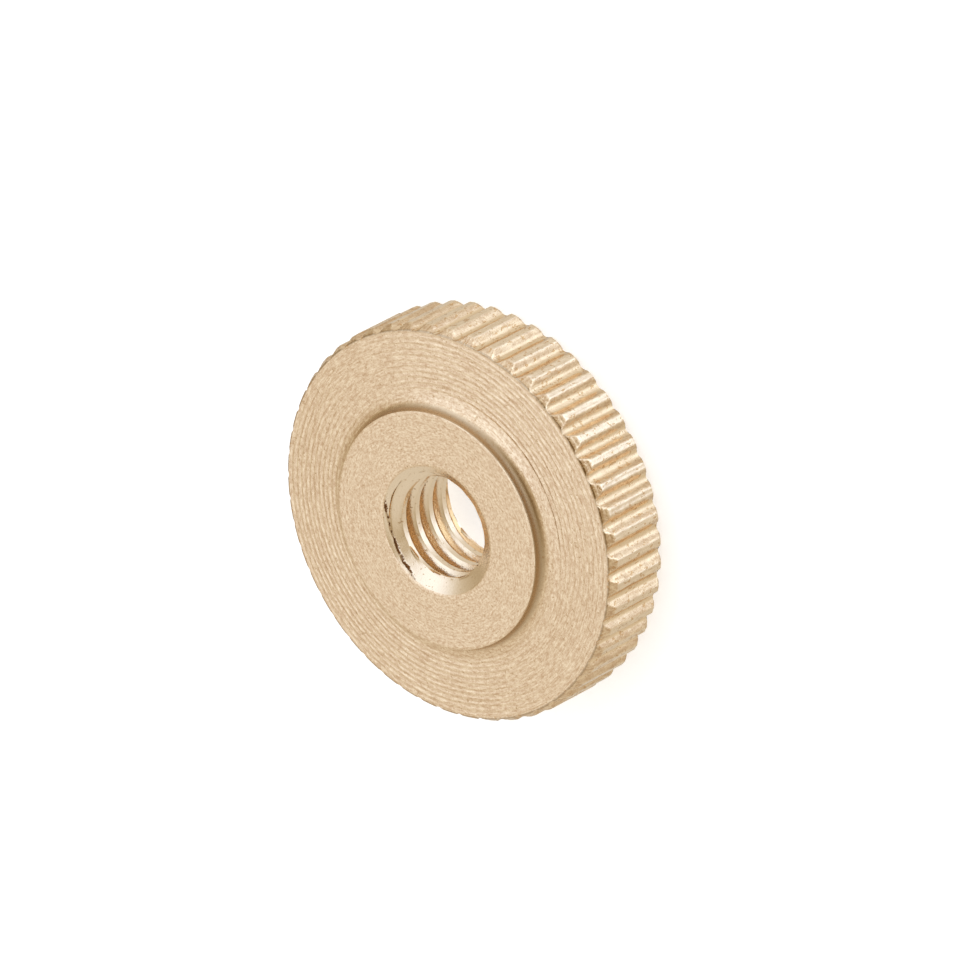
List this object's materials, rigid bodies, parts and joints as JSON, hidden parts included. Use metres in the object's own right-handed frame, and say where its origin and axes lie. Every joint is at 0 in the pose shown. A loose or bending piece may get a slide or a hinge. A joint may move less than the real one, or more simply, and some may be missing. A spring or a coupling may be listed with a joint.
{
  "type": "knurled thumb nut",
  "caption": "Flat knurled thumb nut: a round disc with a straight-knurled rim, a low plain boss on one face and a threaded bore right through.",
  "frame": {"origin": "on the nut's axis, in its plain lower face", "axes": "+Z along the bore axis, from the plain face towards the boss"},
  "size_m": [0.02, 0.02, 0.0047],
  "materials": {
    "turned_brass": "plain turned brass with facing rings, rolled straight knurl and cut thread"
  },
  "bodies": {
    "root": {"thumb_nut": "turned_brass"}
  },
  "joints": []
}
